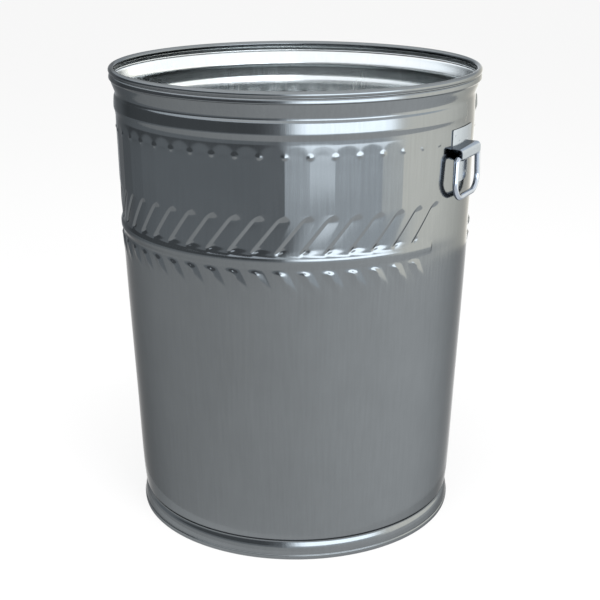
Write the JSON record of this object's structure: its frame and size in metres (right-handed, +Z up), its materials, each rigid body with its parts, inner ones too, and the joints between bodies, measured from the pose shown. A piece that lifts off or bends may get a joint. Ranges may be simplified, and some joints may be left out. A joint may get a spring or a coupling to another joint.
{
  "type": "galvanized steel trash can, open top",
  "caption": "Tapered galvanized steel trash can, open at the top, with a rolled rim, a fluted belt below a lid-stop band, a recessed bottom and swinging drop handles.",
  "frame": {"origin": "middle of the foot, on the floor", "axes": "+Z up, along the can's axis; the handles are on +X and -X"},
  "size_m": [0.544, 0.5334, 0.669],
  "materials": {
    "galvanized_sheet": "satin galvanized steel with faint vertical rolling streaks and fine scuffs",
    "galvanized_pressing": "bright smooth zinc-plated pressing",
    "galvanized_rod": "bright zinc-coated rod"
  },
  "bodies": {
    "can": {"body_shell": "galvanized_sheet", "rim_wire": "galvanized_rod", "bottom_pan": "galvanized_sheet", "ear_right": "galvanized_pressing", "ear_left": "galvanized_pressing"},
    "right_handle": {"handle_right": "galvanized_rod"},
    "left_handle": {"handle_left": "galvanized_rod"}
  },
  "joints": [
    {"name": "right_handle_swing", "type": "hinge", "parent": "can", "child": "right_handle", "pos_m": [0.26584, 0, 0.5616], "axis": [0, -1, 0], "range_deg": [-4, 179]},
    {"name": "left_handle_swing", "type": "hinge", "parent": "can", "child": "left_handle", "pos_m": [-0.26584, 0, 0.5616], "axis": [0, 1, 0], "range_deg": [-4, 179]}
  ]
}
